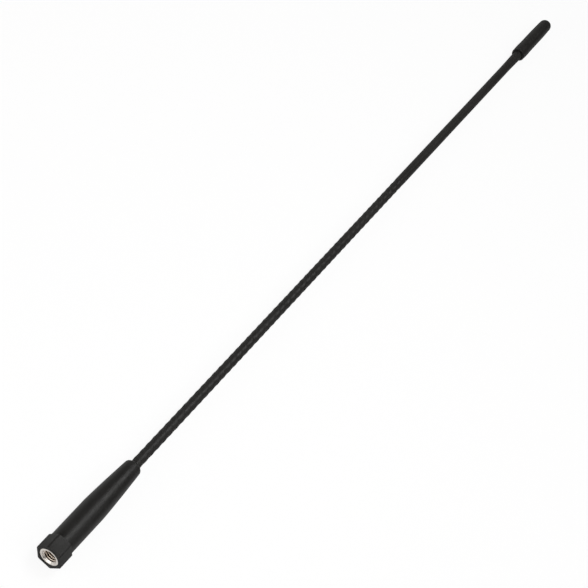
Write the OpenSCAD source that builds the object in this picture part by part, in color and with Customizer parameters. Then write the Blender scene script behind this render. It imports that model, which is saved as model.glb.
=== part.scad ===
// Car mast aerial: a springy black whip with a moulded grip, a threaded metal socket and a tip cap.
// Lengths are in millimetres. The mast runs along +X, and +Z is up. The origin is the centre of the
// collar's end face, so a distance along the mast is counted from the face that meets the car.

/* [Threaded socket] */
// Diameter of the socket's wall, at the crests of an M6 thread
socket_d = 5; // [4.2:0.1:5.4]
// Bevel at the socket's mouth
socket_bevel = 0.7; // [0.3:0.1:1]
// Length of the straight wall behind the bevel
socket_wall_l = 11.5; // [8:0.5:12]
// Full angle of the drilled point at the bottom of the socket
drill_angle = 118; // [100:2:140]

/* [Ferrule] */
// Diameter of the metal ring that shows in the collar's end
ring_d = 8.2; // [7.2:0.1:8.4]
// Depth of the ring's face inside the collar's end
ring_inset = 0.2; // [0:0.1:1]
// Length of the round head behind the ring
head_l = 3; // [2:0.5:5]
// Width across the flats that key the body in the grip
key_af = 7; // [6.8:0.1:7.6]
// Length of the head and the keyed body together
body_l = 16; // [15.5:0.5:20]
// Diameter of the rear barrel that holds the rod
barrel_d = 6; // [4.6:0.2:7]
// Length of the rear barrel
barrel_l = 14; // [8:1:18]
// Solid metal between the body's end and the bottom of the rod's hole
barrel_web = 2; // [1:0.5:4]
// Length of the crimped waist in the middle of the barrel
crimp_l = 3; // [2:0.5:5]
// Depth of the crimped waist
crimp_depth = 0.3; // [0.1:0.1:0.5]
// Length of the solder fillet behind the barrel
solder_l = 1.2; // [0.6:0.1:3]
// Width of the solder fillet's shoulder round the winding
solder_ring = 0.3; // [0.1:0.1:0.6]

/* [Grip] */
// Width across the flats of the hexagonal collar
collar_af = 10.1; // [9.4:0.1:12]
// Length of the collar
collar_l = 7.25; // [4:0.05:12]
// Diameter of the round grip
grip_d = 10.08; // [9.2:0.02:12]
// Length of the whole grip, collar included
grip_l = 53.4; // [44:0.2:70]
// Distance from the mouth at which the grip starts to taper
taper_from = 27.8; // [14:0.2:36]
// How far the taper swells past a straight cone, in radius
taper_swell = 0.1; // [0:0.05:0.4]
// Diameter at the end of the taper
grip_end_d = 7.2; // [6:0.1:9]
// Radius of the rounded shoulder where the mast comes out
shoulder_r = 1.2; // [0.4:0.1:1.2]

/* [Mast] */
// Length of the whole aerial
aerial_l = 422.6; // [400:0.2:600]
// Diameter of the glass-fibre rod
rod_d = 2.7; // [2:0.1:2.8]
// Diameter of the copper wire
wire_d = 0.3; // [0.2:0.02:0.32]
// Pitch of the open winding
wind_pitch = 4.22; // [3.2:0.02:8]
// Angle of the winding at the origin, from which it runs as a left-handed helix
wind_start = -120; // [-180:1:180]
// Share of the aerial's length at which the open winding gives way to close turns
open_share = 0.6264; // [0.3:0.01:0.8]
// Diameter of the jacket where it leaves the grip
jacket_d = 4.36; // [4.2:0.01:5]
// Diameter of the jacket at the far end of its taper, where the flare starts
jacket_top_d = 4.15; // [4.05:0.01:5]
// Height of the rib that the open winding raises
rib_h = 0.12; // [0.05:0.01:0.16]
// Sharpness of the rib that the open winding raises: 1 is an even wave
rib_sharp = 1.4; // [1:0.1:3]

/* [Tip] */
// Length of the tip cap
cap_l = 34.8; // [26:0.2:50]
// Diameter of the cap
cap_d = 6.6; // [6:0.02:9]
// How much wider the cap is at its lip
lip_swell = 0.22; // [0:0.01:0.4]
// Distance of the lip's widest ring from the cap's rim
lip_at = 4.8; // [2:0.2:6]
// Radius of the rounded rim
rim_r = 0.4; // [0.2:0.1:0.6]
// Diameter at the start of the round end
cap_end_d = 6.2; // [5.8:0.02:8]
// Length of the taper before the round end
cap_taper_l = 12; // [4:0.5:16]
// Length of the cap's solid end, past the hole that holds the mast
cap_solid_l = 17.2; // [8:0.2:22]
// Diameter of the jacket where it flares into the cap
flare_d = 4.6; // [4.4:0.02:5.2]
// Length of the flare
flare_l = 14; // [4:0.5:20]

/* [Fits] */
// Gap between a moulding and what it is moulded round
mould_gap = 0.02; // [0.01:0.01:0.05]
// Gap round the rod, the winding and the mast's end
fit_gap = 0.03; // [0.01:0.01:0.06]
// Gap past the end of a piece in its hole
end_gap = 0.3; // [0.1:0.1:0.8]

/* [Hidden] */
$fn = 64;

// Facets of the two helical pieces
jacket_sides = 16;
jacket_rings_per_turn = 5;
wire_sides = 6;
wire_rings_per_turn = 12;
// Points on the curved outlines
taper_steps = 10;
arc_steps = 9;
lip_steps = 12;
cap_steps = 6;

// A cut runs this far past the face that it opens
past = 1;
// The open winding runs this far into the close turns
lap = 0.4;
// The rib's crest lies this far under the plain jacket, so that it never just touches its edge
crest_sink = 0.01;

// Ferrule: the socket from the ring's face, the other places from the collar's end
socket_bottom = socket_bevel + socket_wall_l;
drill_point_l = socket_d / 2 / tan(drill_angle / 2);
head_end = ring_inset + head_l;
body_end = ring_inset + body_l;
barrel_end = body_end + barrel_l;
rod_from = body_end + barrel_web;
solder_end = barrel_end + solder_l;

// Winding: the open turns clear the rod even in the middle of each straight step
rod_hole_r = rod_d / 2 + fit_gap;
wire_r = rod_hole_r / cos(180 / wire_rings_per_turn) + wire_d / 2;
wire_lead = atan(wind_pitch / (2 * PI * wire_r));
close_r = wire_r + wire_d / 2 + fit_gap;
jacket_hole_r = close_r + fit_gap;

// Mast, from the collar's end
cap_from = aerial_l - cap_l;
cap_hole_l = cap_l - cap_solid_l;
mast_end = cap_from + cap_hole_l - end_gap;
rod_end = mast_end - end_gap;
wind_end = rod_end - end_gap;
open_to = aerial_l * open_share;
jacket_from = solder_end + end_gap;
ribs_from = grip_l - shoulder_r - end_gap;
flare_from = cap_from - flare_l;
grip_hole_r = jacket_d / 2 + mould_gap;
cap_hole_r = flare_d / 2 + mould_gap;
// The grip's round part is rooted in the collar
root_l = collar_l / 2;
root_r = (ring_d + min(grip_d, collar_af)) / 4;
// The shoulder's radius is limited by the wall that it rounds
shoulder = min(shoulder_r, 0.9 * (grip_end_d / 2 - grip_hole_r));

// A length between 0 and 1 along a stretch, turned into a swell that starts and ends at nothing
function swell(t) = 4 * t * (1 - t);

// A quarter arc in an outline: centre, radius, first and last angle
function arc(x, y, r, from, to) =
    [for (i = [0:arc_steps]) let (a = from + (to - from) * i / arc_steps) [x + r * cos(a), y + r * sin(a)]];

// Angle of the winding at a distance along the mast
function wind_angle(z) = wind_start - 360 * z / wind_pitch;

// Diameter of the tapered jacket at a distance along the mast
function tapered_d(z) = jacket_d + (jacket_top_d - jacket_d) * (z - ribs_from) / (flare_from - ribs_from);

// Radius of the jacket over the open winding
function ribbed_r(a, z) =
    tapered_d(z) / 2 - crest_sink - rib_h * (1 - pow((1 + cos(a - wind_angle(z))) / 2, rib_sharp));

// Faces of a closed tube of rings, each with the same number of points
function tube_faces(rings, sides) = concat(
    [[for (k = [0:sides - 1]) k]],
    [for (i = [0:rings - 2], k = [0:sides - 1])
        let (n = (k + 1) % sides) [i * sides + k, (i + 1) * sides + k, i * sides + n]],
    [for (i = [0:rings - 2], k = [0:sides - 1])
        let (n = (k + 1) % sides) [(i + 1) * sides + k, (i + 1) * sides + n, i * sides + n]],
    [[for (k = [sides - 1:-1:0]) (rings - 1) * sides + k]]);

// Turns a piece that is drawn upwards along Z so that it lies along the mast, +X
module along_mast() {
    rotate([0, 90, 0]) children();
}

// A hexagonal bar with its corners sideways
module hex_bar(af, h) {
    rotate(30) cylinder(d = af / cos(30), h = h, $fn = 6);
}

// The ferrule's outside, or with a gap the hole that it fills in the grip
module ferrule_outside(gap) {
    translate([0, 0, ring_inset]) {
        cylinder(d = ring_d + 2 * gap, h = head_l + gap);
        intersection() {
            cylinder(d = ring_d + 2 * gap, h = body_l + gap);
            hex_bar(key_af + 2 * gap, body_l + gap);
        }
        difference() {
            cylinder(d = barrel_d + 2 * gap, h = body_l + barrel_l + gap);
            translate([0, 0, body_l + (barrel_l - crimp_l) / 2 + gap])
                difference() {
                    cylinder(d = barrel_d + 2 * past, h = crimp_l - 2 * gap);
                    cylinder(d = barrel_d - 2 * crimp_depth + 2 * gap, h = crimp_l - 2 * gap);
                }
        }
    }
}

// The bevelled socket with its drilled point
module socket() {
    translate([0, 0, -past])
        cylinder(d = socket_d, h = socket_bottom + past);
    translate([0, 0, -past])
        cylinder(d1 = socket_d + 2 * (socket_bevel + past), d2 = socket_d, h = socket_bevel + past);
    translate([0, 0, socket_bottom])
        cylinder(d1 = socket_d, d2 = 0, h = drill_point_l);
}

module threaded_ferrule() {
    color("#c9c4bb")
        along_mast()
            difference() {
                ferrule_outside(0);
                translate([0, 0, ring_inset])
                    socket();
                translate([0, 0, rod_from])
                    cylinder(r = rod_hole_r, h = barrel_l);
            }
}

// Half outline of the round grip: a root inside the collar, a straight part, the taper and the shoulder
function grip_outline() =
    let (r1 = grip_d / 2, r2 = grip_end_d / 2, z2 = grip_l - shoulder)
    concat(
        [[0, collar_l - root_l], [root_r, collar_l - root_l], [root_r, collar_l], [r1, collar_l]],
        [for (i = [0:taper_steps])
            let (t = i / taper_steps)
            [r1 + (r2 - r1) * t + taper_swell * swell(t), taper_from + (z2 - taper_from) * t]],
        [for (p = arc(r2 - shoulder, z2, shoulder, 0, 90)) if (p[1] > z2) p],
        [[0, grip_l]]);

module base_boot() {
    color("#2b2b2b")
        along_mast()
            difference() {
                union() {
                    hex_bar(collar_af, collar_l);
                    rotate_extrude() polygon(grip_outline());
                }
                translate([0, 0, -past])
                    cylinder(d = ring_d + 2 * mould_gap, h = head_end + past);
                ferrule_outside(mould_gap);
                translate([0, 0, body_end])
                    cylinder(d = barrel_d - 2 * crimp_depth, h = jacket_from - mould_gap - body_end);
                translate([0, 0, barrel_end])
                    cylinder(d = barrel_d + 2 * mould_gap, h = solder_l);
                translate([0, 0, jacket_from - mould_gap])
                    cylinder(r = grip_hole_r, h = grip_l);
            }
}

module solder_joint() {
    color("#b8b8b4")
        along_mast()
            translate([0, 0, barrel_end])
                difference() {
                    cylinder(d1 = barrel_d - 2 * crimp_depth, r2 = close_r + solder_ring, h = solder_l);
                    translate([0, 0, -past])
                        cylinder(r = rod_hole_r, h = solder_l + 2 * past);
                }
}

module core_rod() {
    color("#d9d3b4")
        along_mast()
            translate([0, 0, rod_from])
                cylinder(d = rod_d, h = rod_end - rod_from);
}

// The open turns, as one tube whose rings lie across the mast
module open_turns() {
    rings = ceil((open_to + lap - solder_end) / wind_pitch * wire_rings_per_turn) + 1;
    step = (open_to + lap - solder_end) / (rings - 1);
    spread = wire_d / 2 / sin(wire_lead) / wire_r * 180 / PI;
    points = [for (i = [0:rings - 1], k = [0:wire_sides - 1])
        let (z = solder_end + i * step,
             t = 360 * k / wire_sides,
             a = wind_angle(z) + spread * sin(t),
             r = wire_r + wire_d / 2 * cos(t))
        [r * cos(a), r * sin(a), z]];
    polyhedron(points, tube_faces(rings, wire_sides));
}

module radiator_wire() {
    color("#b87333")
        along_mast()
            union() {
                open_turns();
                translate([0, 0, open_to])
                    difference() {
                        cylinder(r = close_r, h = wind_end - open_to);
                        translate([0, 0, -past])
                            cylinder(r = rod_hole_r, h = wind_end - open_to + 2 * past);
                    }
            }
}

// The jacket's stretch over the open turns, raised into one helical rib
module ribbed_stretch() {
    rings = ceil((open_to - ribs_from) / wind_pitch * jacket_rings_per_turn) + 1;
    step = (open_to - ribs_from) / (rings - 1);
    points = [for (i = [0:rings - 1], k = [0:jacket_sides - 1])
        let (z = ribs_from + i * step,
             a = 360 * k / jacket_sides,
             r = ribbed_r(a, z))
        [r * cos(a), r * sin(a), z]];
    polyhedron(points, tube_faces(rings, jacket_sides));
}

module mast_jacket() {
    color("#303030")
        along_mast()
            difference() {
                union() {
                    translate([0, 0, jacket_from])
                        cylinder(d = jacket_d, h = ribs_from - jacket_from);
                    ribbed_stretch();
                    translate([0, 0, open_to])
                        cylinder(d1 = tapered_d(open_to), d2 = jacket_top_d, h = flare_from - open_to);
                    translate([0, 0, flare_from])
                        cylinder(d1 = jacket_top_d, d2 = flare_d, h = flare_l);
                    translate([0, 0, cap_from])
                        cylinder(d = flare_d, h = mast_end - cap_from);
                }
                translate([0, 0, jacket_from - past])
                    cylinder(r = jacket_hole_r, h = aerial_l);
            }
}

// Half outline of the tip cap: rounded rim, swollen lip, straight body, curved taper and round end
function cap_outline() =
    let (r1 = cap_d / 2, r2 = cap_end_d / 2, dome_at = aerial_l - r2,
         lip_from = cap_from + rim_r, lip_to = cap_from + 2 * lip_at - rim_r)
    concat(
        [[0, cap_from]],
        arc(r1 - rim_r, cap_from + rim_r, rim_r, -90, 0),
        [for (i = [1:lip_steps])
            let (t = i / lip_steps)
            [r1 + lip_swell / 2 * pow(sin(180 * t), 2), lip_from + (lip_to - lip_from) * t]],
        [for (i = [0:cap_steps - 1])
            let (t = i / cap_steps)
            [r1 + (r2 - r1) * t * t, dome_at - cap_taper_l * (1 - t)]],
        arc(0, dome_at, r2, 0, 90));

module tip_cap() {
    color("#2e2e2e")
        along_mast()
            difference() {
                rotate_extrude() polygon(cap_outline());
                translate([0, 0, cap_from - past])
                    cylinder(r = cap_hole_r, h = cap_hole_l + past);
            }
}

base_boot();
threaded_ferrule();
solder_joint();
core_rod();
radiator_wire();
mast_jacket();
tip_cap();
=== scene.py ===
"""Looks of the car mast aerial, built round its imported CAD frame. Lengths are in metres, in the row frame."""

import math

import bpy
import numpy as np
from mathutils import Matrix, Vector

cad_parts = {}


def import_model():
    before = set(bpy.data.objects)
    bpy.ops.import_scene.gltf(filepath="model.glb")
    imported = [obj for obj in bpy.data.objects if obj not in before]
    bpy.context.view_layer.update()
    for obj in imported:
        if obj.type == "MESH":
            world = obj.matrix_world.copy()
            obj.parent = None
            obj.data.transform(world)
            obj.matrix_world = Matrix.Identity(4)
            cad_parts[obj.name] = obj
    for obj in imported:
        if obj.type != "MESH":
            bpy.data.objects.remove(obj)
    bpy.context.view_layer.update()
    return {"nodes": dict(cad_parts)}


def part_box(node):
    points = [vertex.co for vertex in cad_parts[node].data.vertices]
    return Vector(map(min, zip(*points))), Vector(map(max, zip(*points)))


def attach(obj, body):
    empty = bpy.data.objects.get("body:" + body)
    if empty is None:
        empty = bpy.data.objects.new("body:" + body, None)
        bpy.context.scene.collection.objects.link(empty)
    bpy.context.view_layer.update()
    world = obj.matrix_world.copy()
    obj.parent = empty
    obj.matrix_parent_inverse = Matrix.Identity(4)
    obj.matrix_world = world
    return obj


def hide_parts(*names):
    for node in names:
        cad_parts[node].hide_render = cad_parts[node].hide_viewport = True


MM = 0.001
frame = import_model()


# Sizes read from the frame
grip_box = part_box("base_boot")
ferrule_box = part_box("threaded_ferrule")
rod_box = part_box("core_rod")
sleeve_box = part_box("mast_jacket")
cap_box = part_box("tip_cap")

COLLAR_HALF = grip_box[1].z              # half the width across the collar's flats
GRIP_END = grip_box[1].x
RING_FROM = ferrule_box[0].x             # the ring's face lies inside the collar's end
FERRULE_END = ferrule_box[1].x
ROD_HOLE_FROM = rod_box[0].x
SLEEVE_FROM, SLEEVE_TO = sleeve_box[0].x, sleeve_box[1].x
CAP_FROM, CAP_TO = cap_box[0].x, cap_box[1].x
AERIAL_L = CAP_TO

# Sizes of the grip, as in the part's source
COLLAR_L = 7.25 * MM
GRIP_R = 5.04 * MM
GRIP_END_R = 3.6 * MM
TAPER_FROM = 27.8 * MM
TAPER_SWELL = 0.1 * MM
SHOULDER_R = 1.2 * MM
MOULD_GAP = 0.02 * MM

# Sizes of the ferrule, as in the part's source
HEAD_L, BODY_L, BARREL_L = 3 * MM, 16 * MM, 14 * MM
RING_R = 4.1 * MM
RING_TO = RING_FROM + HEAD_L
KEY_HALF = 3.5 * MM
KEY_TO = RING_FROM + BODY_L
BARREL_R = 3 * MM
CRIMP_L, CRIMP_DEPTH = 3 * MM, 0.3 * MM
CRIMP_FROM = KEY_TO + (BARREL_L - CRIMP_L) / 2
SOCKET_R = 2.5 * MM
SOCKET_BEVEL = 0.7 * MM
SOCKET_WALL_L = 11.5 * MM
SOCKET_TO = RING_FROM + SOCKET_BEVEL + SOCKET_WALL_L
DRILL_ANGLE = math.radians(118)
DRILL_TIP = SOCKET_TO + SOCKET_R / math.tan(DRILL_ANGLE / 2)
ROD_HOLE_R = 1.38 * MM

# Sizes of the sleeve, as in the part's source
SLEEVE_R = 2.18 * MM
SLEEVE_TOP_R = 2.075 * MM
SLEEVE_HOLE_R = 1.789 * MM
RIB_H = 0.13 * MM                        # with the 0.01 mm by which the source sinks its crests
RIB_SHARP = 1.4
WIND_PITCH = 4.22 * MM
WIND_START = math.radians(-120)
OPEN_TO = 0.6264 * AERIAL_L              # the winding's turns are open up to here
RIBS_FROM = GRIP_END - 1.5 * MM
FLARE_R = 2.3 * MM
FLARE_FROM = CAP_FROM - 14 * MM

# Sizes of the cap, as in the part's source
CAP_R = 3.3 * MM
LIP_SWELL = 0.11 * MM
LIP_AT = 4.8 * MM
RIM_R = 0.4 * MM
DOME_R = 3.1 * MM
CAP_TAPER_L = 12 * MM
CAP_HOLE_TO = CAP_TO - 17.2 * MM

# Finer detail than the source has
THREAD_PITCH = 1 * MM
THREAD_DEPTH = 0.54 * MM
THREAD_CREST, THREAD_ROOT = 0.125, 0.25  # widths of the crest and the root, as shares of the pitch
THREAD_START = math.radians(85)
THREAD_RINGS = 18                        # rings of the mesh for each turn
RIB_FADE = 3 * MM
RIB_RINGS = 24                           # rings of the mesh for each turn
COLLAR_CORNER_R = 0.9 * MM
COLLAR_EDGE_R = 0.15 * MM
COLLAR_STEP = 0.03 * MM
RING_EDGE_R = 0.12 * MM
KEY_CORNER_R = 0.1 * MM
MOUTH_EDGE_R = 0.1 * MM
SHARP_FROM = math.radians(38)

HEX_HALF = math.radians(30)              # half a side of a hexagon, as seen from its axis


# Mesh building
def even_angles(sides):
    return np.arange(sides) * 2 * math.pi / sides


def hex_angles(per_side):
    """Angles round the axis, closer together at the six corners, which lie at 30, 90, ... degrees."""
    u = np.arange(-per_side, per_side) / per_side
    offsets = HEX_HALF * u * np.abs(u)
    return np.concatenate([HEX_HALF * (1 + 2 * k) + offsets for k in range(6)])


def hex_radius(angles, half, corner):
    """Distance of a hexagon's outline from the axis, its corners rounded."""
    off_corner = np.abs(angles % (2 * HEX_HALF) - HEX_HALF)
    flat = half / np.cos(HEX_HALF - off_corner)
    if corner <= 0:
        return flat
    centre = (half - corner) / math.cos(HEX_HALF)
    ends = math.atan2(corner * math.sin(HEX_HALF), centre + corner * math.cos(HEX_HALF))
    inside = np.minimum(off_corner, ends)
    rounded = centre * np.cos(inside) + np.sqrt(corner ** 2 - (centre * np.sin(inside)) ** 2)
    return np.where(off_corner < ends, rounded, flat)


def skin(name, angles, rings):
    """A closed surface of rings round the mast. A ring is (x, radius or one radius per angle), and radius 0
    is a pole. Rings run along +X outside and back inside, and a surface without poles joins its last ring
    to its first."""
    sides = len(angles)
    points, faces, starts = [], [], []
    for x, radius in rings:
        starts.append(len(points))
        if np.isscalar(radius) and radius == 0:
            points.append((x, 0.0, 0.0))
            continue
        r = np.broadcast_to(radius, (sides,))
        points.extend(zip(np.full(sides, x), r * np.sin(angles), -r * np.cos(angles)))
    starts_at_pole = starts[1] - starts[0] == 1
    ends_at_pole = len(points) - starts[-1] == 1
    looped = not starts_at_pole and not ends_at_pole
    for i in range(len(rings) if looped else len(rings) - 1):
        a, b = starts[i], starts[(i + 1) % len(rings)]
        for k in range(sides):
            n = (k + 1) % sides
            if starts_at_pole and i == 0:
                faces.append((a, b + n, b + k))
            elif ends_at_pole and i == len(rings) - 2:
                faces.append((a + k, a + n, b))
            else:
                faces.append((a + k, a + n, b + n, b + k))
    mesh = bpy.data.meshes.new(name)
    mesh.from_pydata([tuple(map(float, p)) for p in points], [], faces)
    mesh.validate()
    mesh.shade_smooth()
    mesh.set_sharp_from_angle(angle=SHARP_FROM)
    piece = bpy.data.objects.new(name, mesh)
    bpy.context.scene.collection.objects.link(piece)
    return piece


def arc(x, r, radius, start, end, steps=8):
    """Points of a rounded edge in a half outline, start and end in degrees."""
    turn = np.radians(np.linspace(start, end, steps + 1))
    return [(x + radius * math.cos(t), r + radius * math.sin(t)) for t in turn]


def place(piece, node, material):
    piece.data.materials.append(material)
    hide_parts(node)
    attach(piece, "root")


# Node trees
class Tree:
    """A node tree, with short ways to add to it."""

    def __init__(self, tree):
        self.nodes, self.links = tree.nodes, tree.links

    def add(self, kind, inputs=(), **settings):
        """A new node. Each input is a number, a colour or another node's socket."""
        node = self.nodes.new(kind)
        for key, value in settings.items():
            setattr(node, key, value)
        for key, value in dict(inputs).items():
            if isinstance(value, bpy.types.NodeSocket):
                self.links.new(value, node.inputs[key])
            else:
                node.inputs[key].default_value = value
        return node

    def maths(self, operation, *values):
        return self.add("ShaderNodeMath", enumerate(values), operation=operation).outputs[0]

    def ranged(self, value, low, high, start=0.3, end=0.7, **settings):
        """A value between start and end, turned into one between low and high."""
        return self.add("ShaderNodeMapRange", {
            "Value": value, "From Min": start, "From Max": end, "To Min": low, "To Max": high,
        }, **settings).outputs["Result"]

    def split(self, vector):
        return self.add("ShaderNodeSeparateXYZ", {"Vector": vector}).outputs

    def seen_by(self, *rays):
        """1 for a ray of any of these kinds, 0 for the others."""
        path = self.add("ShaderNodeLightPath").outputs
        seen = path[rays[0]]
        for ray in rays[1:]:
            seen = self.maths("MAXIMUM", seen, path[ray])
        return seen

    def blended(self, share, a, b):
        """Shader a, with that share of shader b."""
        return self.add("ShaderNodeMixShader", {0: share, 1: a, 2: b}).outputs[0]


class Paint(Tree):
    """A node material with a Principled shader and the coordinates of the row frame, in metres."""

    def __init__(self, name, **constants):
        self.material = bpy.data.materials.new(name)
        self.material.use_nodes = True
        super().__init__(self.material.node_tree)
        self.shader = self.nodes["Principled BSDF"]
        for socket, value in constants.items():
            self.shader.inputs[socket.replace("_", " ")].default_value = value
        self.where = self.nodes.new("ShaderNodeTexCoord").outputs["Object"]

    def stretched(self, along):
        """The coordinates with lengths along the mast multiplied by along."""
        return self.add("ShaderNodeMapping", {"Vector": self.where, "Scale": (along, 1, 1)}).outputs["Vector"]

    def noise(self, size, detail=3.0, roughness=0.55, where=None):
        """Noise with features of that size, in metres."""
        return self.add("ShaderNodeTexNoise", {
            "Vector": where or self.where, "Scale": 1 / size, "Detail": detail, "Roughness": roughness,
        }).outputs["Fac"]

    def mixed(self, share, a, b):
        """Colour a, with that share of colour b."""
        node = self.add("ShaderNodeMix", {"Factor": share}, data_type="RGBA")
        for index, value in ((6, a), (7, b)):
            if isinstance(value, bpy.types.NodeSocket):
                self.links.new(value, node.inputs[index])
            else:
                node.inputs[index].default_value = (*value, 1)
        return node.outputs[2]

    def bump(self, height, depth, below=None):
        """A bump whose full height is depth, in metres."""
        inputs = {"Height": height, "Strength": 1.0, "Distance": depth}
        if below is not None:
            inputs["Normal"] = below
        return self.add("ShaderNodeBump", inputs).outputs["Normal"]

    def dull_rims(self, level, rim_level, start, end):
        """Gloss that fades to rim_level as the surface turns away. Start and end lie between 0, which faces
        the viewer, and 1, a rim."""
        facing = self.add("ShaderNodeLayerWeight", {"Blend": 0.5}).outputs["Facing"]
        gloss = self.shader.inputs["Specular IOR Level"]
        gloss.default_value = level
        self.links.new(self.ranged(facing, level, rim_level, start, end), gloss)

    def finish(self, colour, roughness, normal):
        self.links.new(colour, self.shader.inputs["Base Color"])
        self.links.new(roughness, self.shader.inputs["Roughness"])
        self.links.new(normal, self.shader.inputs["Normal"])
        return self.material


# Materials
def grip_rubber():
    """Satin black moulding: a fine spark-eroded grain, soft cloudy sheen and a few paler dust marks."""
    black, worn, dusty = (0.0085, 0.0082, 0.0076), (0.0115, 0.0111, 0.0103), (0.07, 0.068, 0.064)
    p = Paint("grip_rubber", IOR=1.46)
    p.dull_rims(0.17, 0.03, 0.4, 0.9)
    cloud = p.noise(6 * MM, 2)
    grain = p.noise(0.16 * MM, 2)
    dust = p.ranged(p.noise(0.45 * MM, 4, 0.7), 0, 1, 0.66, 0.8)
    colour = p.mixed(p.ranged(cloud, 0, 1), black, worn)
    colour = p.mixed(p.ranged(dust, 0, 0.35, 0, 1), colour, dusty)
    collar_dull = p.ranged(p.split(p.where)["X"], 0.07, 0, COLLAR_L - 0.5 * MM, COLLAR_L + 0.5 * MM)
    rough = p.maths("ADD", p.ranged(cloud, 0.36, 0.46), collar_dull)
    normal = p.bump(grain, 0.012 * MM, p.bump(cloud, 0.02 * MM))
    return p.finish(colour, rough, normal)


def sleeve_plastic():
    """Matte black sleeve drawn over the winding: a fine grain drawn out along the mast."""
    black, worn = (0.0160, 0.0155, 0.0145), (0.0200, 0.0194, 0.0182)
    p = Paint("jacket_plastic", IOR=1.46)
    p.dull_rims(0.14, 0.0, 0.1, 0.8)
    cloud = p.noise(9 * MM, 2, where=p.stretched(0.35))
    grain = p.noise(0.14 * MM, 2, where=p.stretched(0.3))
    colour = p.mixed(p.ranged(cloud, 0, 1), black, worn)
    return p.finish(colour, p.ranged(cloud, 0.37, 0.46), p.bump(grain, 0.010 * MM))


def cap_plastic():
    """Matte black moulding of the tip cap, darker than the sleeve."""
    black, worn = (0.0105, 0.0101, 0.0094), (0.0140, 0.0135, 0.0126)
    p = Paint("cap_plastic", IOR=1.46)
    p.dull_rims(0.17, 0.0, 0.2, 0.85)
    cloud = p.noise(5 * MM, 2)
    grain = p.noise(0.15 * MM, 2)
    colour = p.mixed(p.ranged(cloud, 0, 1), black, worn)
    return p.finish(colour, p.ranged(cloud, 0.38, 0.48), p.bump(grain, 0.010 * MM))


def plated_metal():
    """Nickel plate with turning marks round the axis. In the socket it is thin and rougher, the thread's
    roots are darkened with painted shade that also stands for dark residue, and a brown residue lies on the +Y
    side of the mouth."""
    nickel, bright_nickel = (0.54, 0.505, 0.465), (0.67, 0.635, 0.59)
    thin_plate, bright_plate = (0.80, 0.67, 0.55), (0.95, 0.83, 0.71)
    root_shade_and_residue, brown = (0.035, 0.02, 0.01), (0.16, 0.10, 0.06)
    groove_r = SOCKET_R + THREAD_DEPTH
    p = Paint("plated_metal", Metallic=1.0)
    at = p.split(p.where)
    radius = p.maths("SQRT", p.maths("MULTIPLY_ADD", at["Z"], at["Z"], p.maths("MULTIPLY", at["Y"], at["Y"])))
    turned = p.add("ShaderNodeCombineXYZ", {"X": at["X"], "Y": radius}).outputs["Vector"]
    marks = p.noise(0.06 * MM, 2, where=turned)
    tarnish = p.ranged(p.noise(1.2 * MM, 3), 0, 1)
    # painted shade: the thread's roots are darkened as if in shadow, together with dark residue
    root = p.ranged(radius, 0, 1, SOCKET_R + 0.22 * MM, SOCKET_R + 0.38 * MM)
    in_groove = p.ranged(radius, 1, 0, groove_r + 0.02 * MM, groove_r + 0.1 * MM)
    root = p.maths("MULTIPLY", root, in_groove)
    thin = p.mixed(root, p.mixed(tarnish, thin_plate, bright_plate), root_shade_and_residue)
    inside = p.ranged(at["X"], 0, 1, RING_FROM + 0.4 * MM, RING_FROM + 1.4 * MM)
    colour = p.mixed(inside, p.mixed(tarnish, nickel, bright_nickel), thin)
    mouth = p.ranged(at["X"], 0, 1, RING_FROM + 0.15 * MM, RING_FROM + 0.45 * MM)
    side = p.ranged(at["Y"], 0, 1, 0.4 * MM, 1.6 * MM)
    spots = p.ranged(p.noise(0.55 * MM, 2), 0, 0.85, 0.5, 0.62)
    colour = p.mixed(p.maths("MULTIPLY", p.maths("MULTIPLY", spots, mouth), side), colour, brown)
    rough = p.maths("MULTIPLY_ADD", inside, 0.18, p.ranged(marks, 0.20, 0.34))
    return p.finish(colour, rough, p.bump(marks, 0.004 * MM))


def copper():
    """Enamelled copper wire: fine draw marks and patches of darker enamel."""
    dark_enamel, bright_enamel = (0.45, 0.16, 0.07), (0.66, 0.28, 0.13)
    p = Paint("copper", Metallic=1.0)
    patches = p.noise(2.5 * MM, 3)
    marks = p.noise(0.08 * MM, 2)
    colour = p.mixed(p.ranged(patches, 0, 1), dark_enamel, bright_enamel)
    return p.finish(colour, p.ranged(marks, 0.22, 0.38), p.bump(marks, 0.004 * MM))


def solder():
    """Dull solder with a frosty, slightly wrinkled skin."""
    dull, bright = (0.42, 0.42, 0.40), (0.62, 0.62, 0.60)
    p = Paint("solder", Metallic=1.0)
    frost = p.noise(0.25 * MM, 4, 0.65)
    colour = p.mixed(p.ranged(frost, 0, 1), dull, bright)
    return p.finish(colour, p.ranged(frost, 0.35, 0.6), p.bump(frost, 0.02 * MM))


def glass_fibre():
    """Pale resin rod with glass fibres drawn along it."""
    resin, fibre = (0.50, 0.45, 0.29), (0.68, 0.64, 0.48)
    p = Paint("glass_fibre", IOR=1.52)
    fibres = p.noise(0.12 * MM, 3, where=p.stretched(0.02))
    cloud = p.noise(8 * MM, 2)
    colour = p.mixed(p.ranged(fibres, 0, 1), resin, fibre)
    return p.finish(colour, p.ranged(cloud, 0.3, 0.42), p.bump(fibres, 0.01 * MM))


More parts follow.
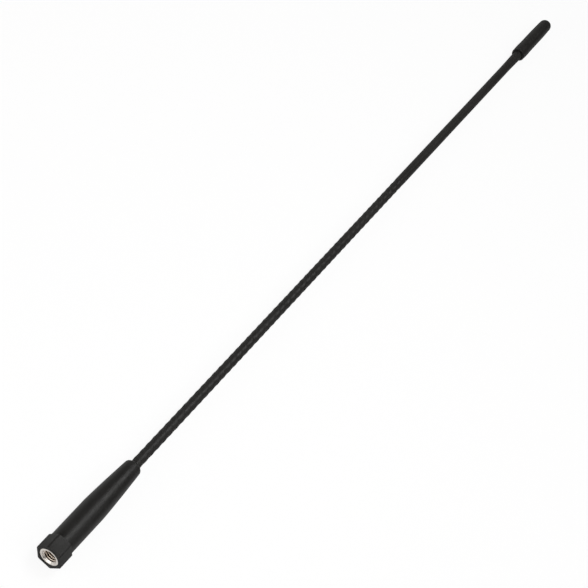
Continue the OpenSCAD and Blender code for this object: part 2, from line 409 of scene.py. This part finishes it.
# Pieces
def grip():
    """The moulded grip: hexagonal collar, round body, swollen taper, rounded shoulder and a stepped hole."""
    angles = hex_angles(16)

    def collar(inset):
        return hex_radius(angles, COLLAR_HALF - inset, COLLAR_CORNER_R - inset)

    e = COLLAR_EDGE_R
    rings = [(0.0, RING_R + MOULD_GAP)]
    rings += [(e + x, collar(e - r)) for x, r in arc(0, 0, e, 180, 90, 5)]
    rings += [(x, np.maximum(collar(e - r), GRIP_R)) for x, r in arc(COLLAR_L - e, 0, e, 90, 0, 5)]
    rings += [(COLLAR_L + COLLAR_STEP, GRIP_R)]
    taper_to = GRIP_END - SHOULDER_R
    for t in np.linspace(0, 1, 25):
        r = GRIP_R + (GRIP_END_R - GRIP_R) * t + TAPER_SWELL * 4 * t * (1 - t)
        rings.append((TAPER_FROM + (taper_to - TAPER_FROM) * t, r))
    rings += arc(taper_to, GRIP_END_R - SHOULDER_R, SHOULDER_R, 90, 0, 14)[1:]
    hole_r, barrel_hole_r, crimp_r = SLEEVE_R + MOULD_GAP, BARREL_R + MOULD_GAP, BARREL_R - CRIMP_DEPTH
    ring_hole_r = RING_R + MOULD_GAP
    key_hole_r = np.minimum(hex_radius(angles, KEY_HALF + MOULD_GAP, 0), ring_hole_r)
    hole_to, barrel_to = SLEEVE_FROM - MOULD_GAP, FERRULE_END + MOULD_GAP
    key_to, ring_to = KEY_TO + MOULD_GAP, RING_TO + MOULD_GAP
    rings += [(GRIP_END, hole_r + MOUTH_EDGE_R), (GRIP_END - MOUTH_EDGE_R, hole_r)]
    rings += [(hole_to, hole_r), (hole_to, crimp_r), (barrel_to, crimp_r), (barrel_to, barrel_hole_r)]
    rings += [(key_to, barrel_hole_r), (key_to, key_hole_r), (ring_to, key_hole_r), (ring_to, ring_hole_r)]
    return skin("grip", angles, rings)


def thread_radius(x, angles):
    """Radius of the socket's wall: a right-handed 60 degree thread inside a bevelled mouth."""
    turn = (x / THREAD_PITCH - (angles - THREAD_START) / (2 * math.pi)) % 1
    off_root = np.abs(turn - 0.5)
    flank = (1 - THREAD_CREST - THREAD_ROOT) / 2
    slope = np.clip(((1 - THREAD_CREST) / 2 - off_root) / flank, 0, 1)
    bevel = SOCKET_R + SOCKET_BEVEL - (x - RING_FROM)
    return np.maximum(SOCKET_R + THREAD_DEPTH * slope, bevel)


def ferrule():
    """One closed surface: from the drilled point out along the thread, round the ring and back to the rod."""
    angles = hex_angles(12)
    key = np.minimum(hex_radius(angles, KEY_HALF, KEY_CORNER_R), RING_R)
    e = RING_EDGE_R
    rings = [(DRILL_TIP, 0)]
    steps = int(round((SOCKET_TO - RING_FROM) / THREAD_PITCH * THREAD_RINGS))
    rings += [(x, thread_radius(x, angles)) for x in np.linspace(SOCKET_TO, RING_FROM, steps + 1)]
    rings += arc(RING_FROM + e, RING_R - e, e, 180, 90, 5)
    rings += [(RING_TO, RING_R), (RING_TO, key), (KEY_TO, key), (KEY_TO, BARREL_R)]
    for t in np.linspace(0, 1, 17):
        rings.append((CRIMP_FROM + CRIMP_L * t, BARREL_R - CRIMP_DEPTH * min(1, 6 * t, 6 * (1 - t))))
    rings += [(FERRULE_END, BARREL_R), (FERRULE_END, ROD_HOLE_R)]
    rings += [(ROD_HOLE_FROM, ROD_HOLE_R), (ROD_HOLE_FROM, 0)]
    return skin("socket_insert", angles, rings)


def taper_radius(x):
    """Radius of the sleeve's crests, which taper from the grip to the flare."""
    return SLEEVE_R + (SLEEVE_TOP_R - SLEEVE_R) * (x - RIBS_FROM) / (FLARE_FROM - RIBS_FROM)


def rib_radius(x, angles):
    """Radius of the sleeve over the open, left-handed winding. The rib fades out at both ends of it."""
    around = angles - (WIND_START - 2 * math.pi * x / WIND_PITCH)
    crest = ((1 + np.cos(around)) / 2) ** RIB_SHARP
    fade = min(1, max(0, (x - RIBS_FROM) / RIB_FADE), max(0, (OPEN_TO - x) / RIB_FADE))
    fade = fade * fade * (3 - 2 * fade)
    return taper_radius(x) - RIB_H * fade * (1 - crest)


def sleeve():
    """The thin sleeve over the mast: plain in the grip, a helical rib over the open winding, then smooth."""
    angles = even_angles(48)
    rings = [(SLEEVE_FROM, SLEEVE_HOLE_R), (SLEEVE_FROM, SLEEVE_R), (RIBS_FROM, SLEEVE_R)]
    steps = int(math.ceil((OPEN_TO - RIBS_FROM) / WIND_PITCH * RIB_RINGS))
    rings += [(x, rib_radius(x, angles)) for x in np.linspace(RIBS_FROM, OPEN_TO, steps + 1)[1:]]
    rings += [(x, taper_radius(x)) for x in np.linspace(OPEN_TO, FLARE_FROM, 29)[1:]]
    for t in np.linspace(0, 1, 9)[1:]:
        r = SLEEVE_TOP_R + (FLARE_R - SLEEVE_TOP_R) * t
        rings.append((FLARE_FROM + (CAP_FROM - FLARE_FROM) * t, r))
    rings += [(SLEEVE_TO, FLARE_R), (SLEEVE_TO, SLEEVE_HOLE_R)]
    rings += [(x, SLEEVE_HOLE_R) for x in np.linspace(SLEEVE_TO, SLEEVE_FROM, 40)[1:-1]]
    return skin("mast_sleeve", angles, rings)


def cap():
    """The tip cap: rounded rim, swollen lip, straight body, taper and round end, with the mast's hole."""
    angles = even_angles(96)
    hole_r = FLARE_R + MOULD_GAP
    dome_at = CAP_TO - DOME_R
    rings = [(CAP_HOLE_TO, 0), (CAP_HOLE_TO, hole_r), (CAP_FROM + MOUTH_EDGE_R, hole_r)]
    rings += [(CAP_FROM, hole_r + MOUTH_EDGE_R)]
    rings += arc(CAP_FROM + RIM_R, CAP_R - RIM_R, RIM_R, 180, 90, 8)
    lip_from, lip_to = CAP_FROM + RIM_R, CAP_FROM + 2 * LIP_AT - RIM_R
    for t in np.linspace(0, 1, 25)[1:]:
        rings.append((lip_from + (lip_to - lip_from) * t, CAP_R + LIP_SWELL * math.sin(math.pi * t) ** 2))
    rings += [(x, CAP_R) for x in np.linspace(lip_to, dome_at - CAP_TAPER_L, 7)[1:]]
    for t in np.linspace(0, 1, 13)[1:]:
        rings.append((dome_at - CAP_TAPER_L * (1 - t), CAP_R + (DOME_R - CAP_R) * t * t))
    rings += arc(dome_at, 0, DOME_R, 90, 0, 20)[1:-1] + [(CAP_TO, 0)]
    return skin("tip_cap_shell", angles, rings)


place(grip(), "base_boot", grip_rubber())
place(ferrule(), "threaded_ferrule", plated_metal())
place(sleeve(), "mast_jacket", sleeve_plastic())
place(cap(), "tip_cap", cap_plastic())

for node, material in (("core_rod", glass_fibre()), ("radiator_wire", copper()), ("solder_joint", solder())):
    shown = frame["nodes"][node]
    shown.data.materials.clear()
    shown.data.materials.append(material)

# Floor, room and lights
REST_X, REST_Z = TAPER_FROM, -GRIP_R
REST_CAP_X, REST_CAP_Z = CAP_FROM + LIP_AT, -(CAP_R + LIP_SWELL)
FLOOR_HALF = 2.0
FLOOR_COLOUR = (0.9, 0.9, 0.9, 1)
FLOOR_GLOW = 0.9                         # share of the floor that is seen as plain white
WHITE = (1, 1, 1, 1)
ROOM_COLOUR = (1.0, 0.99, 0.97, 1)


def white_floor():
    """Pale floor that the camera and mirrors see as nearly white, with the object's shadow kept."""
    material = bpy.data.materials.new("floor_white")
    material.use_nodes = True
    tree = Tree(material.node_tree)
    tree.nodes.clear()
    matt = tree.add("ShaderNodeBsdfDiffuse", {"Color": FLOOR_COLOUR}).outputs[0]
    glow = tree.add("ShaderNodeEmission", {"Color": WHITE, "Strength": 1.0}).outputs[0]
    seen = tree.seen_by("Is Camera Ray", "Is Glossy Ray", "Is Transmission Ray")
    surface = tree.blended(tree.maths("MULTIPLY", seen, FLOOR_GLOW), matt, glow)
    tree.add("ShaderNodeOutputMaterial", {"Surface": surface})
    return material


def floor():
    """The plane under the aerial. The grip rests where its taper starts, and the cap on its lip."""
    slope = (REST_CAP_Z - REST_Z) / (REST_CAP_X - REST_X)
    corners = [(FLOOR_HALF * x, FLOOR_HALF * y) for x, y in ((-1, -1), (1, -1), (1, 1), (-1, 1))]
    mesh = bpy.data.meshes.new("floor")
    mesh.from_pydata([(x, y, REST_Z + slope * (x - REST_X)) for x, y in corners], [], [(0, 1, 2, 3)])
    plane = bpy.data.objects.new("floor", mesh)
    bpy.context.scene.collection.objects.link(plane)
    plane.data.materials.append(white_floor())


def world(low, high, fade, right):
    """A white room for the camera. It lights the object with low at the horizon, fading to high at that
    height, and with that share of it from the -Y side."""
    studio = bpy.data.worlds.new("studio")
    bpy.context.scene.world = studio
    studio.use_nodes = True
    tree = Tree(studio.node_tree)
    direction = tree.split(tree.add("ShaderNodeTexCoord").outputs["Generated"])
    level = tree.ranged(direction["Z"], low, high, 0, fade, interpolation_type="SMOOTHSTEP")
    side = tree.ranged(direction["Y"], right, 1, -0.6, 0.2)
    room = tree.nodes["Background"]
    room.inputs["Color"].default_value = ROOM_COLOUR
    tree.links.new(tree.maths("MULTIPLY", level, side), room.inputs["Strength"])
    white = tree.add("ShaderNodeBackground", {"Color": WHITE, "Strength": 1.0}).outputs[0]
    shown = tree.blended(tree.seen_by("Is Camera Ray"), room.outputs[0], white)
    tree.links.new(shown, tree.nodes["World Output"].inputs["Surface"])


def stand(name, data, axes, centre):
    """A lamp or camera at centre, with its own X, Y and Z along the three axes."""
    holder = bpy.data.objects.new(name, data)
    bpy.context.scene.collection.objects.link(holder)
    rows = [[axis[i] for axis in axes] + [centre[i]] for i in range(3)]
    holder.matrix_world = Matrix(rows + [[0, 0, 0, 1]])
    return holder


def softbox(name, centre, target, width, height, watts, spread=180):
    """A rectangular lamp at centre that faces target, its width lying level. A small spread, in degrees,
    narrows its beam."""
    lamp = bpy.data.lights.new(name, "AREA")
    lamp.shape = "RECTANGLE"
    lamp.size, lamp.size_y = width, height
    lamp.energy = watts
    lamp.spread = math.radians(spread)
    away = np.array(centre, float) - np.array(target, float)
    away /= np.linalg.norm(away)
    across = np.cross((0, 0, 1), away)
    across /= np.linalg.norm(across)
    stand(name, lamp, (across, np.cross(away, across), away), centre)


floor()
world(low=0.75, high=0.28, fade=0.3, right=0.5)
softbox("key", (0.68, -0.09, 1.0), (0.02, -0.02, 0), width=0.56, height=0.5, watts=1.5, spread=75)
softbox("front", (-0.72, 0.5, 0.34), (0, 0, 0), width=0.9, height=0.5, watts=3.6)
softbox("mouth", (-0.55, -0.1, 0.6), (0, 0, 0), width=0.3, height=0.3, watts=0.1, spread=40)
softbox("fill", (0.3, -0.8, 0.85), (0, 0, 0), width=0.7, height=0.6, watts=0.75, spread=80)
softbox("far", (1.35, 0.75, 0.45), (0.3, 0, 0), width=0.7, height=0.5, watts=0.7)

# The camera looks down along the mast, rolled so that the mast runs up the picture from the lower left
CAMERA_AT = (-0.3358, 0.0, 0.5757)
CAMERA_TILT = math.radians(48.628)
CAMERA_ROLL = math.radians(43.02)
CAMERA_PAN = 0.00025
PICTURE_PIXELS = 588
FOCAL_PIXELS = 1833.5
SENSOR_MM = 36


def camera():
    lens = bpy.data.cameras.new("camera")
    lens.sensor_width = SENSOR_MM
    lens.lens = SENSOR_MM * FOCAL_PIXELS / PICTURE_PIXELS
    lens.clip_start, lens.clip_end = 0.01, 20
    level = np.array((0.0, -1.0, 0.0))
    upright = np.array((math.sin(CAMERA_TILT), 0.0, math.cos(CAMERA_TILT)))
    ahead = np.array((math.cos(CAMERA_TILT), 0.0, -math.sin(CAMERA_TILT)))
    level, ahead = level + CAMERA_PAN * ahead, ahead - CAMERA_PAN * level
    right = math.cos(CAMERA_ROLL) * level + math.sin(CAMERA_ROLL) * upright
    up = math.cos(CAMERA_ROLL) * upright - math.sin(CAMERA_ROLL) * level
    bpy.context.scene.camera = stand("camera", lens, (right, up, -ahead), CAMERA_AT)


camera()
bpy.context.scene.view_settings.view_transform = "Standard"
